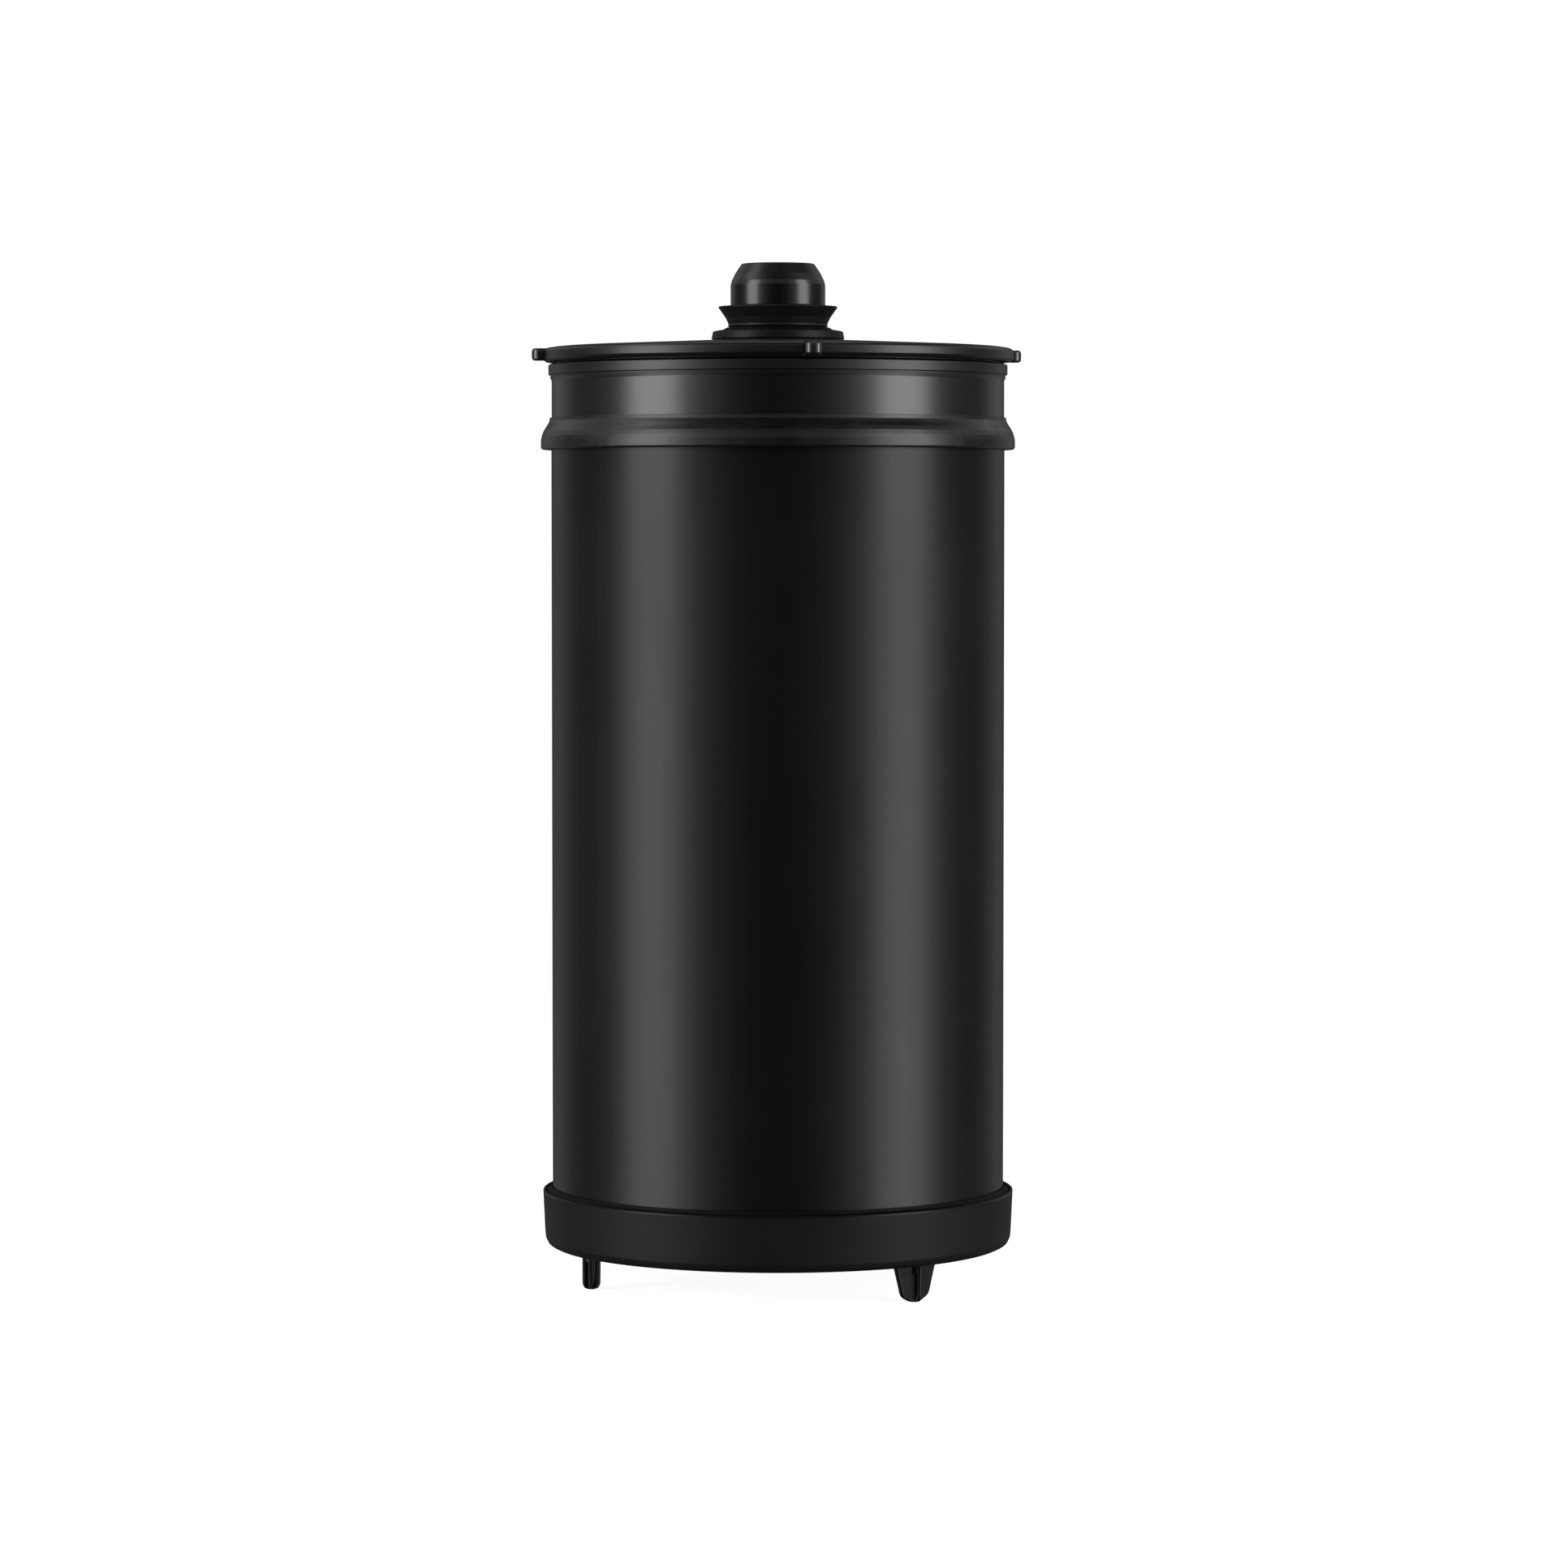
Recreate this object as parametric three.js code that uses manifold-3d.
// Round cartridge canister for treating water at a base camp or under a bench.
// Raw water comes up through the slotted cup base, fills the gap inside the smooth sleeve,
// passes inwards through a felt wrap and a hollow carbon block into a slotted core, and leaves
// by the lip-sealed spigot on top. The head (domed cap, spigot, check valve) pulls out of the
// collar with the filter element hanging from it on a bayonet.
//
// Millimetres, +Z up. Origin: centre of the circle of feet, on the plane the canister stands on.
// Suffixes: _R outer radius, _RI inner radius, _Z0 and _Z1 lower and upper height.

import * as THREE from 'three';
import { mergeVertices } from 'three/addons/utils/BufferGeometryUtils.js';
import Module from 'manifold-3d';

const wasm = await Module();
wasm.setup();

// ---------------------------------------------------------------- shared dimensions
const SEG_BIG = 48; // facets round the large shells
const SEG_MID = 32; // facets round the filter element
const SEG_SMALL = 24; // facets round the spigot and its fittings
const GAP = 0.3; // assembly gap between neighbouring pieces

const BASE_Z = 11.0; // underside of the base cup
const FLOOR_TOP = BASE_Z + 3;
const LOCATOR_R = 8.0; // boss in the middle of the floor

const SLEEVE_R = 62.0;
const SLEEVE_RI = SLEEVE_R - 2;
const SLEEVE_Z0 = 16.0;
const SLEEVE_Z1 = 234.0;
const SEAL_RI = SLEEVE_R + GAP; // inside of the rubber bands round the sleeve

const BORE_R = 57.5; // collar bore
const COLLAR_TOP = 252.4;

const RIM_Z0 = 253.5; // seat of the head cap's rim
const RIM_LOW_Z = RIM_Z0 - 0.4; // lowest level of the overhanging rim
const DOME_Z = 259.0;

// ---------------------------------------------------------------- materials
const plain = (settings) => new THREE.MeshStandardMaterial({ metalness: 0, ...settings });
const satinBlack = plain({ color: 0x17181a, roughness: 0.38 });
const matteBlack = plain({ color: 0x1b1b1c, roughness: 0.6 });
const glossBlack = plain({ color: 0x0c0c0d, roughness: 0.2 });
const rubber = plain({ color: 0x141414, roughness: 0.75 });
const carbon = plain({ color: 0x1a1a1b, roughness: 0.95 });
const felt = plain({ color: 0xe6e4dc, roughness: 0.95 });
const whitePlastic = plain({ color: 0xe9e9e6, roughness: 0.5 });
const steel = plain({ color: 0xb9bcc0, roughness: 0.3, metalness: 1 });

// ---------------------------------------------------------------- helpers
const repeat = (count, make) => Array.from({ length: count }, (_, i) => make(i));

// A closed mesh as a solid, its faces turned outwards.
function solid(geometry) {
  const loose = geometry.index ? geometry.toNonIndexed() : geometry.clone();
  for (const key of Object.keys(loose.attributes)) {
    if (key !== 'position') loose.deleteAttribute(key);
  }
  const merged = mergeVertices(loose, 1e-4);
  const corners = [];
  for (let i = 0; i < merged.index.count; i += 3) {
    const [a, b, c] = [0, 1, 2].map((k) => merged.index.getX(i + k));
    if (a !== b && b !== c && a !== c) corners.push(a, b, c);
  }
  const make = () => new wasm.Manifold(new wasm.Mesh({
    numProp: 3,
    vertProperties: new Float32Array(merged.attributes.position.array),
    triVerts: new Uint32Array(corners),
  }));
  const body = make();
  if (body.volume() > 0) return body;
  for (let i = 0; i < corners.length; i += 3) {
    [corners[i + 1], corners[i + 2]] = [corners[i + 2], corners[i + 1]];
  }
  return make();
}

const join = (body, additions) => additions.reduce((sum, item) => sum.add(solid(item)), body);
const cut = (body, cutters) => cutters.reduce((rest, item) => rest.subtract(solid(item)), body);

function geometryOf(body) {
  const { numVert, numProp, vertProperties, triVerts } = body.getMesh();
  const positions = new Float32Array(numVert * 3);
  for (let i = 0; i < numVert; i++) {
    positions.set(vertProperties.subarray(i * numProp, i * numProp + 3), i * 3);
  }
  const geometry = new THREE.BufferGeometry();
  geometry.setAttribute('position', new THREE.BufferAttribute(positions, 3));
  geometry.setIndex(new THREE.BufferAttribute(new Uint32Array(triVerts), 1));
  geometry.computeVertexNormals();
  return geometry;
}

// Revolves [radius, height] points about Z.
// Points on the axis start and end the profile, or it closes on itself.
function revolve(profile, segments) {
  const points = profile.map(([radius, z]) => new THREE.Vector2(radius, z));
  if (profile[0][0] !== 0) points.push(points[0].clone());
  return new THREE.LatheGeometry(points, segments).rotateX(Math.PI / 2);
}

// Profile of a plain ring, or of a disc when the inner radius is 0.
const band = (inner, outer, z0, z1) => [[inner, z0], [outer, z0], [outer, z1], [inner, z1]];

// A sector of a ring between two angles in degrees.
function sector({ inner, outer, from, to, z0, z1, steps }) {
  const start = THREE.MathUtils.degToRad(from);
  const end = THREE.MathUtils.degToRad(to);
  const plan = new THREE.Shape();
  plan.absarc(0, 0, outer, start, end, false);
  plan.absarc(0, 0, inner, end, start, true);
  plan.closePath();
  const options = { depth: z1 - z0, bevelEnabled: false, curveSegments: steps };
  return new THREE.ExtrudeGeometry(plan, options).translate(0, 0, z0);
}

function piece(name, body, material, { x = 0, y = 0, z = 0, turn = 0 } = {}) {
  const mesh = new THREE.Mesh(geometryOf(body), material);
  mesh.name = name;
  mesh.position.set(x, y, z);
  mesh.rotation.z = turn;
  return mesh;
}

// A turned piece whose profile is given at its real height. Its own origin is the height of its
// lowest point, z0; `change` reworks the solid in that frame.
function turned(name, profile, segments, material, change = (body) => body) {
  const z0 = Math.min(...profile.map(([, z]) => z));
  const body = solid(revolve(profile.map(([radius, z]) => [radius, z - z0]), segments));
  return piece(name, change(body, z0), material, { z: z0 });
}

// A six-sided rubber ring in the middle of its groove. `shoulder` is half the height of its
// upright sides.
function oring(name, { radius, z, halfWidth, halfHeight, shoulder }, segments) {
  return turned(name, [
    [radius - halfWidth, z - shoulder], [radius, z - halfHeight],
    [radius + halfWidth, z - shoulder], [radius + halfWidth, z + shoulder],
    [radius, z + halfHeight], [radius - halfWidth, z + shoulder],
  ], segments, rubber);
}

// ---------------------------------------------------------------- feet
const FOOT_PCR = 52.6; // radius of the circle the feet stand on
const FOOT_ANGLES = [-54, 66, -174]; // degrees about +Z
const FOOT_ROOT_Z = BASE_Z - GAP; // top of a foot's fins
const FIN_T = 1.6;
const FOOT_STEM_R = 2.0;
const FOOT_STEM_Z0 = FOOT_ROOT_Z - 3;
const FOOT_BARB_Z0 = FLOOR_TOP + GAP;
const FOOT_BARB_Z1 = FLOOR_TOP + 1.9;
const FOOT_HOLE_R = 2.3;
const FOOT_SEG = 12;

// Half outlines of the fins, [distance from the middle, height], from root to tip.
const BROAD_FIN = [
  [7.8, FOOT_ROOT_Z], [6.25, 5.3], [5.6, 3.0], [5.1, 1.9], [2.1, 0.2], [1.3, 0],
];
const SHORT_FIN = [[2.5, FOOT_ROOT_Z], [2.5, 1.6], [1.9, 0.4], [1.2, 0]];

const FOOT_PLACES = FOOT_ANGLES.map((degrees) => {
  const turn = THREE.MathUtils.degToRad(degrees);
  return { x: FOOT_PCR * Math.cos(turn), y: FOOT_PCR * Math.sin(turn), turn };
});

// A fin standing in the XZ plane, its thickness centred on it.
function fin(halfOutline) {
  const outline = [...halfOutline.map(([x, z]) => [-x, z]), ...halfOutline.toReversed()];
  const shape = new THREE.Shape(outline.map(([x, z]) => new THREE.Vector2(x, z)));
  return new THREE.ExtrudeGeometry(shape, { depth: FIN_T, bevelEnabled: false })
    .translate(0, 0, -FIN_T / 2)
    .rotateX(Math.PI / 2);
}

// Foot: a broad tangential fin and a short radial fin that cross, tapering to a small flat tip,
// with a barbed stem.
function foot(place, i) {
  const stem = revolve([
    [0, FOOT_STEM_Z0], [FOOT_STEM_R, FOOT_STEM_Z0], [FOOT_STEM_R, FOOT_BARB_Z0],
    [2.8, FOOT_BARB_Z0], [2.3, FOOT_BARB_Z1], [0, FOOT_BARB_Z1],
  ], FOOT_SEG);
  const body = join(solid(fin(BROAD_FIN).rotateZ(Math.PI / 2)), [fin(SHORT_FIN), stem]);
  return piece(`foot_${i + 1}`, body, glossBlack, place);
}

// ---------------------------------------------------------------- base cup
const CUP_R = 64.65;
const CUP_RIM_Z = 26.3;
const SOCKET_R = 62.35;
const SOCKET_FLOOR_Z = SLEEVE_Z0 - GAP;
const LOCATOR_TOP = 19.5;
const INLET = { inner: 24, outer: 46, count: 6, width: 34, offset: 6 }; // angles in degrees

// A thin flared lip stands off the sleeve, and the socket below it holds the sleeve's end.
const CUP_PROFILE = [
  [0, BASE_Z], [61.6, BASE_Z], [63.0, 11.6], [63.8, 12.8], [64.1, 14.4],
  [CUP_R, CUP_RIM_Z - 0.5], [CUP_R - 0.3, CUP_RIM_Z], [CUP_R - 0.6, CUP_RIM_Z - 0.1],
  [SOCKET_R + 0.2, 22.4], [SOCKET_R, 21.8], [SOCKET_R, SOCKET_FLOOR_Z],
  [57.5, SOCKET_FLOOR_Z], [57.5, FLOOR_TOP],
  [LOCATOR_R + 0.5, FLOOR_TOP], [LOCATOR_R, LOCATOR_TOP], [0, LOCATOR_TOP],
];

function inletSlot(i, z1) {
  const middle = (i * 360) / INLET.count + INLET.offset;
  return sector({
    inner: INLET.inner, outer: INLET.outer,
    from: middle - INLET.width / 2, to: middle + INLET.width / 2,
    z0: -1, z1, steps: 4,
  });
}

const footHole = ({ x, y }) => new THREE.CylinderGeometry(FOOT_HOLE_R, FOOT_HOLE_R, 8, FOOT_SEG)
  .rotateX(Math.PI / 2)
  .translate(x, y, 1);

function baseCup() {
  return turned('base_cup', CUP_PROFILE, SEG_BIG, matteBlack, (cup, z0) => cut(cup, [
    ...repeat(INLET.count, (i) => inletSlot(i, FLOOR_TOP - z0 + 1)),
    ...FOOT_PLACES.map(footHole),
  ]));
}

// Fills the flare between the cup's lip and the sleeve, and shows as a dark line above the lip.
function cupSeal() {
  return turned('cup_seal', [
    [SEAL_RI, 24.0], [62.6, 23.8], [63.6, 26.0], [63.0, 26.9], [SEAL_RI + 0.15, 27.5],
    [SEAL_RI, 27.5],
  ], SEG_BIG, rubber);
}

// Woven screen over the inlet slots, as one thin disc.
function inletScreen() {
  const profile = band(9.2, 48, FLOOR_TOP + GAP, FLOOR_TOP + 1.1);
  return turned('inlet_screen', profile, SEG_SMALL, steel);
}

// ---------------------------------------------------------------- sleeve and collar
const COLLAR_Z0 = 222.0;
const COLLAR_PLUG_R = 59.7; // the part inside the sleeve
const NECK_R = 61.9;
const NECK_Z0 = SLEEVE_Z1 + GAP;
const RING_R = 62.8;
const RING_Z0 = 249.8;
const SKIRT_R = 64.9;
const SKIRT_Z0 = 229.2;
const SKIRT_Z1 = 237.9;

function sleeve() {
  return turned('sleeve', band(SLEEVE_RI, SLEEVE_R, SLEEVE_Z0, SLEEVE_Z1), SEG_BIG, satinBlack);
}

// Its plug drops into the sleeve, its neck is almost flush with the sleeve, and a low ring
// finishes its top.
function collar() {
  return turned('collar', [
    [BORE_R, COLLAR_Z0], [59.2, COLLAR_Z0], [COLLAR_PLUG_R, COLLAR_Z0 + 1],
    [COLLAR_PLUG_R, NECK_Z0], [NECK_R, NECK_Z0],
    [NECK_R, 248.3], [62.3, 249.0], [62.3, RING_Z0], [RING_R, RING_Z0 + 0.25],
    [RING_R, COLLAR_TOP - 0.4], [RING_R - 0.4, COLLAR_TOP],
    [BORE_R + 0.8, COLLAR_TOP], [BORE_R, COLLAR_TOP - 1.2],
  ], SEG_BIG, satinBlack);
}

// A rubber band over the joint of sleeve and collar, its lip flaring out and down.
function skirtSeal() {
  return turned('skirt_seal', [
    [SEAL_RI, SKIRT_Z0 + 0.4], [63.0, SKIRT_Z0 + 0.4], [63.5, SKIRT_Z0 + 2.4],
    [64.0, SKIRT_Z0], [64.5, SKIRT_Z0], [SKIRT_R, SKIRT_Z0 + 0.6],
    [SKIRT_R, 231.6], [64.7, 232.7], [64.3, 233.9], [63.75, 234.95], [63.05, 236.0],
    [62.6, 236.9], [SEAL_RI + 0.15, SKIRT_Z1], [SEAL_RI, SKIRT_Z1],
  ], SEG_BIG, rubber);
}

// ---------------------------------------------------------------- head cap
const RIM_R = 64.5;
const RIM_Z1 = 256.9;
const DOME_FLAT_R = 18.0;
const CAP_HOLE_R = 9.3;
const CAP_UNDER_Z = 256.2;
const PLUG_R = BORE_R - GAP;
const PLUG_RI = 54.6;
const PLUG_Z0 = 240.6;
const CAP_GROOVE = { floor: 55.4, z0: 243.4, z1: 246.4 };

const PAD_COUNT = 4;
const PAD_REACH = 67.6;
const PAD_ROOT = 62.7;
const PAD_W = 4.6;
const PAD_H = 3.6;
const PAD_BEVEL = 0.7;
const PAD_NOSE = PAD_W / 2 - 0.9; // depth of the rounded nose, before the bevel
const padTurn = (i) => (i * 2 * Math.PI) / PAD_COUNT;

const CAP_PROFILE = [
  // underside and plug, with the ring groove
  [CAP_HOLE_R, CAP_UNDER_Z], [20, CAP_UNDER_Z], [PLUG_RI, 254.4], [PLUG_RI, PLUG_Z0],
  [PLUG_R - 0.5, PLUG_Z0], [PLUG_R, PLUG_Z0 + 0.8],
  [PLUG_R, CAP_GROOVE.z0], [CAP_GROOVE.floor, CAP_GROOVE.z0],
  [CAP_GROOVE.floor, CAP_GROOVE.z1], [PLUG_R, CAP_GROOVE.z1],
  // overhanging rim
  [PLUG_R, RIM_Z0], [61.1, RIM_Z0], [61.4, RIM_LOW_Z], [RIM_R - 1.1, RIM_LOW_Z],
  [RIM_R, RIM_Z0 + 0.4], [RIM_R, 255.3], [RIM_R - 0.6, 256.3], [RIM_R - 1.9, RIM_Z1],
  // dome
  [DOME_FLAT_R, DOME_Z], [CAP_HOLE_R, DOME_Z],
];

// Domed cap, its rim notched for the guide pads.
function headCap() {
  const [length, height] = [6, 8];
  const notch = (i, z0) => new THREE.BoxGeometry(length, PAD_W + 2 * GAP, height)
    .translate(PAD_ROOT - GAP + length / 2, 0, RIM_Z0 + 3 - z0)
    .rotateZ(padTurn(i));
  return turned('head_cap', CAP_PROFILE, SEG_BIG, satinBlack,
    (cap, z0) => cut(cap, repeat(PAD_COUNT, (i) => notch(i, z0))));
}

// Slippery nub let into the rim. The pads centre the head in its housing.
function guidePad(i) {
  const root = PAD_ROOT + PAD_BEVEL;
  const half = PAD_W / 2 - PAD_BEVEL;
  const nose = PAD_REACH - PAD_BEVEL - PAD_NOSE;
  const plan = new THREE.Shape();
  plan.moveTo(root, -half);
  plan.lineTo(nose, -half);
  plan.absellipse(nose, 0, PAD_NOSE, half, -Math.PI / 2, Math.PI / 2, false, 0);
  plan.lineTo(root, half);
  plan.closePath();
  const pad = new THREE.ExtrudeGeometry(plan, {
    depth: PAD_H - 2 * PAD_BEVEL,
    bevelEnabled: true,
    bevelSize: PAD_BEVEL,
    bevelThickness: PAD_BEVEL,
    bevelSegments: 2,
    curveSegments: 6,
  }).translate(0, 0, PAD_BEVEL);
  const place = { z: RIM_LOW_Z, turn: padTurn(i) };
  return piece(`guide_pad_${i + 1}`, solid(pad), glossBlack, place);
}

function headGasket() {
  const profile = band(BORE_R + 0.2, 60.8, COLLAR_TOP + 0.2, RIM_Z0 - 0.2);
  return turned('head_gasket', profile, SEG_BIG, rubber);
}

function headOring() {
  const z = (CAP_GROOVE.z0 + CAP_GROOVE.z1) / 2;
  const size = { radius: 56.45, z, halfWidth: 0.85, halfHeight: 1.2, shoulder: 0.6 };
  return oring('head_oring', size, SEG_BIG);
}

// ---------------------------------------------------------------- spigot
const SPIGOT_R = 12.95;
const SPIGOT_TOP = 280.0;
const SPIGOT_BORE = 8.4;
const WAIST_R = 11.5;
const SHOULDER_Z = 268.5; // top of the waist
const FLANGE_R = 18.2;
const FLANGE_Z0 = 259.9;
const FLANGE_EDGE_Z0 = 259.4; // the edge hangs lower, to hide the gasket
const FLANGE_Z1 = 262.55;
const GASKET_R = 17.6;
const LIP_R = 16.3;
const LIP_Z0 = 262.8;
const STEM_R = 8.9;
const STEM_BORE = 7.0;
const STEM_Z0 = 226.5;
const STEM_GROOVE = { floor: 7.9, z0: 228.6, z1: 230.4 };
const SEAT_Z = 266.3; // check valve seat
const SEAT_R = 5.6;

const SPIGOT_PROFILE = [
  // stem with its ring groove
  [STEM_BORE, STEM_Z0], [STEM_R, STEM_Z0], [STEM_R, STEM_GROOVE.z0],
  [STEM_GROOVE.floor, STEM_GROOVE.z0], [STEM_GROOVE.floor, STEM_GROOVE.z1],
  [STEM_R, STEM_GROOVE.z1], [STEM_R, FLANGE_Z0],
  // clamping flange, its top sloping up to the seal
  [GASKET_R + 0.25, FLANGE_Z0], [GASKET_R + 0.25, FLANGE_EDGE_Z0], [FLANGE_R, FLANGE_EDGE_Z0],
  [17.9, 261.1], [17.5, 261.5], [15.0, 262.0], [14.1, FLANGE_Z1],
  // waist for the lip seal, and chamfered outlet
  [WAIST_R, FLANGE_Z1], [WAIST_R, SHOULDER_Z], [SPIGOT_R, SHOULDER_Z],
  [SPIGOT_R, 273.8], [12.7, 275.2], [11.85, 277.0], [10.9, 278.5], [9.7, SPIGOT_TOP],
  // bore and valve seat
  [SPIGOT_BORE + 0.2, SPIGOT_TOP], [SPIGOT_BORE, SPIGOT_TOP - 0.3], [SPIGOT_BORE, SEAT_Z],
  [SEAT_R, SEAT_Z], [SEAT_R, 263.0], [STEM_BORE, 261.0],
];

const spigot = () => turned('spigot', SPIGOT_PROFILE, SEG_SMALL, glossBlack);

function lipSeal() {
  const inner = WAIST_R + GAP;
  const top = SHOULDER_Z - GAP;
  return turned('lip_seal', [
    [inner, LIP_Z0], [13.75, LIP_Z0], [13.5, 263.4], [14.3, 265.2], [LIP_R, 268.0],
    [LIP_R - 0.25, 268.35], [14.4, 266.7], [13.3, top], [inner, top],
  ], SEG_SMALL, rubber);
}

function spigotGasket() {
  const profile = band(9.6, GASKET_R, DOME_Z + 0.15, FLANGE_Z0 - 0.15);
  return turned('spigot_gasket', profile, SEG_SMALL, rubber);
}

function stemOring() {
  const z = (STEM_GROOVE.z0 + STEM_GROOVE.z1) / 2;
  const size = { radius: 8.55, z, halfWidth: 0.55, halfHeight: 0.75, shoulder: 0.4 };
  return oring('stem_oring', size, SEG_SMALL);
}

// ---------------------------------------------------------------- bayonet nut
const NUT_Z0 = 232.0;
const NUT_HEX_H = 5.5;
const NUT_SKIRT_H = 18.5;
const NUT_H = NUT_SKIRT_H + NUT_HEX_H;
const NUT_HEX_R = 16.0;
const NUT_HOLE_R = 9.2;
const NUT_SKIRT_R = 14.2;
const NUT_SKIRT_RI = 12.2;

const LUG_Z0 = 236.0;
const LUG_H = 2.0;
const LUG_W = 2.6;
const LUG_R = 13.9;
const LUG_ROOT_R = 11.2;
const BAYONET_DEG = 80; // turn from locked to the entry slot
const SLOT_HALF_DEG = 8; // half the width of the entry slot

// L-shaped slot: a level track, and an entry up into its far end.
function bayonetSlot(side) {
  const level = LUG_Z0 - NUT_Z0;
  const wall = { inner: 11.6, outer: 15 };
  const entry = side + BAYONET_DEG;
  const to = entry + SLOT_HALF_DEG;
  return [
    sector({
      ...wall, from: side - SLOT_HALF_DEG, to, z0: level - 0.4, z1: level + LUG_H + 0.4, steps: 8,
    }),
    sector({ ...wall, from: entry - SLOT_HALF_DEG, to, z0: -1, z1: level, steps: 4 }),
  ];
}

// Six-sided head that clamps the spigot, and a skirt with two slots for the element's lugs.
function bayonetNut() {
  const hex = new THREE.CylinderGeometry(NUT_HEX_R, NUT_HEX_R, NUT_HEX_H, 6)
    .rotateX(Math.PI / 2)
    .translate(0, 0, NUT_SKIRT_H + NUT_HEX_H / 2);
  const skirt = revolve(band(0, NUT_SKIRT_R, 0, NUT_SKIRT_H + 1), SEG_SMALL);
  const hollow = revolve([
    [0, -1], [NUT_SKIRT_RI, -1], [NUT_SKIRT_RI, NUT_SKIRT_H - 0.5],
    [NUT_HOLE_R, NUT_SKIRT_H + 0.5], [NUT_HOLE_R, NUT_H + 1], [0, NUT_H + 1],
  ], SEG_SMALL);
  const nut = cut(join(solid(hex), [skirt]), [hollow, ...[0, 180].flatMap(bayonetSlot)]);
  return piece('bayonet_nut', nut, matteBlack, { z: NUT_Z0 });
}

// ---------------------------------------------------------------- check valve
const SPIDER = {
  outer: 8.1, hub: 1.75, height: 1.6, z: 273.6,
  windows: 3, windowOuter: 6.9, windowInner: 3.7, halfAngle: 0.82, // radians
};
const SPRING_R = 2.9;
const SPRING_WIRE = 0.3; // wire radius
const SPRING_TURNS = 3;
const SPRING_Z0 = 268.1;
const SPRING_Z1 = 273.4;

function spiderWindow(i) {
  const middle = (i * 2 * Math.PI) / SPIDER.windows;
  const outerHalf = SPIDER.halfAngle;
  const innerHalf = outerHalf * 0.75;
  const window = new THREE.Path();
  window.absarc(0, 0, SPIDER.windowOuter, middle - outerHalf, middle + outerHalf, false);
  window.absarc(0, 0, SPIDER.windowInner, middle + innerHalf, middle - innerHalf, true);
  window.closePath();
  return window;
}

// Spider that guides the valve stem and carries the spring.
function valveSpider() {
  const plan = new THREE.Shape();
  plan.absarc(0, 0, SPIDER.outer, 0, 2 * Math.PI, false);
  const hub = new THREE.Path();
  hub.absarc(0, 0, SPIDER.hub, 0, 2 * Math.PI, true);
  plan.holes.push(hub, ...repeat(SPIDER.windows, spiderWindow));
  const options = { depth: SPIDER.height, bevelEnabled: false, curveSegments: 6 };
  const body = solid(new THREE.ExtrudeGeometry(plan, options));
  return piece('valve_spider', body, whitePlastic, { z: SPIDER.z });
}

// Centre line of the spring wire.
class Coil extends THREE.Curve {
  getPoint(t, target = new THREE.Vector3()) {
    const angle = t * SPRING_TURNS * 2 * Math.PI;
    const rise = SPRING_Z1 - SPRING_Z0 - 2 * SPRING_WIRE;
    return target.set(SPRING_R * Math.cos(angle), SPRING_R * Math.sin(angle), rise * t);
  }
}

// Spring between the poppet and the spider.
function valveSpring() {
  const wire = new THREE.Shape();
  wire.absarc(0, 0, SPRING_WIRE, 0, 2 * Math.PI, false);
  const body = solid(new THREE.ExtrudeGeometry(wire, {
    steps: 42, curveSegments: 3, bevelEnabled: false, extrudePath: new Coil(),
  }));
  return piece('valve_spring', body, steel, { z: SPRING_Z0 + SPRING_WIRE });
}

function valvePoppet() {
  return turned('valve_poppet', [
    [0, SEAT_Z - 2.2], [3.0, SEAT_Z - 2.2], [5.0, SEAT_Z + 0.25], [7.4, SEAT_Z + 0.25],
    [7.4, SEAT_Z + 1.3], [2.0, SEAT_Z + 1.5], [1.4, SEAT_Z + 2.2], [1.4, 276.0], [0, 276.4],
  ], SEG_SMALL, whitePlastic);
}

// ---------------------------------------------------------------- filter element
const ELEMENT_R = 55.0;
const ELEMENT_RI = 53.9; // inside of the end caps' edges
const NECK_TUBE_R = 11.8;
const NECK_TUBE_RI = 9.3;
const NECK_TUBE_TOP = 246.0;
const BLOCK_R = 52.0;
const BLOCK_RI = 17.0;
const BLOCK_Z0 = 30.4;
const BLOCK_Z1 = 221.0;
const CORE_CUT = { length: 40, width: 4, height: 46, z: 36, pitch: 60, tiers: 3, twist: 0.5 };

// Top cap: its neck tube carries two lugs for the bayonet nut.
function elementTopCap() {
  const lug = (side, z0) => new THREE.BoxGeometry(LUG_R - LUG_ROOT_R, LUG_W, LUG_H)
    .translate((LUG_R + LUG_ROOT_R) / 2, 0, LUG_Z0 + LUG_H / 2 - z0)
    .rotateZ(side);
  return turned('element_top_cap', [
    [6.9, 222.2], [ELEMENT_RI, 222.2], [ELEMENT_RI, 218.0], [ELEMENT_R, 218.0],
    [ELEMENT_R, 225.0], [54.2, 225.8], [NECK_TUBE_R, 225.8], [NECK_TUBE_R, NECK_TUBE_TOP],
    [NECK_TUBE_RI, NECK_TUBE_TOP], [NECK_TUBE_RI, 225.4], [6.9, 225.4],
  ], SEG_MID, whitePlastic, (cap, z0) => join(cap, [lug(0, z0), lug(Math.PI, z0)]));
}

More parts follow.
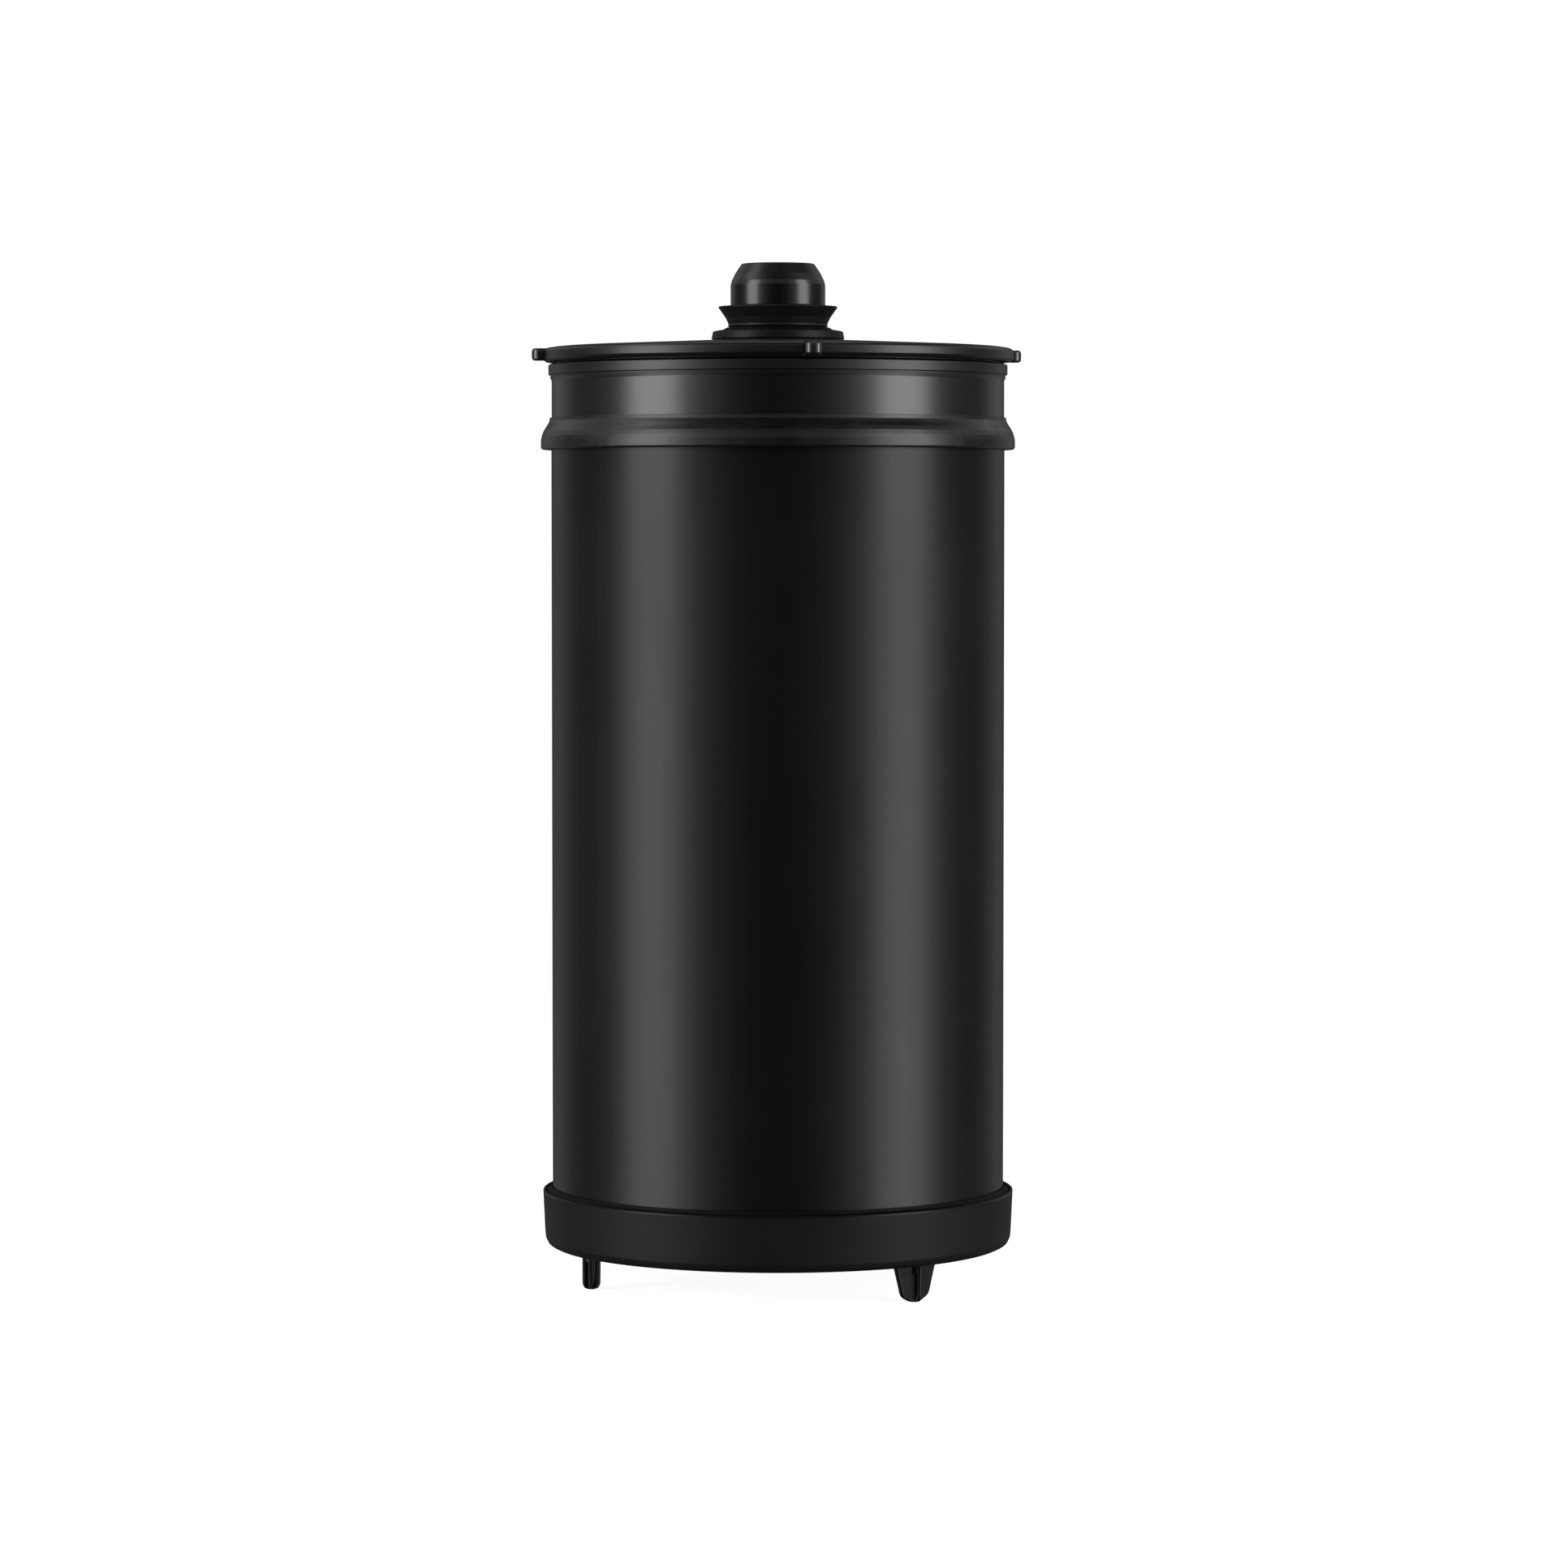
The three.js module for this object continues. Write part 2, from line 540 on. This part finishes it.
// Bottom cap: the short tube under it fits over the base cup's locator.
function elementBottomCap() {
  const socket = LOCATOR_R + 1;
  return turned('element_bottom_cap', [
    [0, 26.0], [socket, 26.0], [socket, 16.8], [11.0, 16.8], [11.0, 24.6], [54.2, 24.6],
    [ELEMENT_R, 25.4], [ELEMENT_R, 33.0], [ELEMENT_RI, 33.0], [ELEMENT_RI, 28.9], [0, 28.9],
  ], SEG_MID, whitePlastic);
}

const blockWasher = (end, z0) => turned(
  `block_washer_${end}`, band(BLOCK_RI + 1, BLOCK_R - 0.5, z0, z0 + 0.7), SEG_MID, felt,
);

function carbonBlock() {
  return turned('carbon_block', band(BLOCK_RI, BLOCK_R, BLOCK_Z0, BLOCK_Z1), SEG_MID, carbon);
}

function feltWrap() {
  const profile = band(BLOCK_R + 0.5, 53.6, BLOCK_Z0 + 0.2, BLOCK_Z1 - 0.2);
  return turned('felt_wrap', profile, SEG_MID, felt);
}

// Core with tiers of four slots, each pair cut by one bar; every tier is twisted from the last.
function coreTube() {
  const { length, width, height, z, pitch, tiers, twist } = CORE_CUT;
  const bar = (tier, i) => new THREE.BoxGeometry(length, width, height)
    .translate(0, 0, z + tier * pitch)
    .rotateZ((i * Math.PI) / 2 + tier * twist);
  const bars = repeat(tiers, (tier) => [bar(tier, 0), bar(tier, 1)]).flat();
  return turned('core_tube', band(14.6, 16.6, 29.8, 221.8), SEG_MID, whitePlastic,
    (tube) => cut(tube, bars));
}

// ---------------------------------------------------------------- assembly
const group = (...items) => new THREE.Group().add(...items);

const canister = group(
  sleeve(), baseCup(), cupSeal(), ...FOOT_PLACES.map(foot), inletScreen(), collar(), skirtSeal(),
);

const valve = group(valvePoppet());

const element = group(
  elementTopCap(), blockWasher('top', BLOCK_Z1 + 0.2), carbonBlock(), feltWrap(), coreTube(),
  blockWasher('bottom', BLOCK_Z0 - 1.1), elementBottomCap(),
);

const head = group(
  headCap(), ...repeat(PAD_COUNT, guidePad), headGasket(), headOring(),
  spigot(), lipSeal(), spigotGasket(), bayonetNut(), stemOring(),
  valveSpider(), valveSpring(), valve, element,
);

const part = group(canister, head);
part.name = 'filter_canister';

export default part;
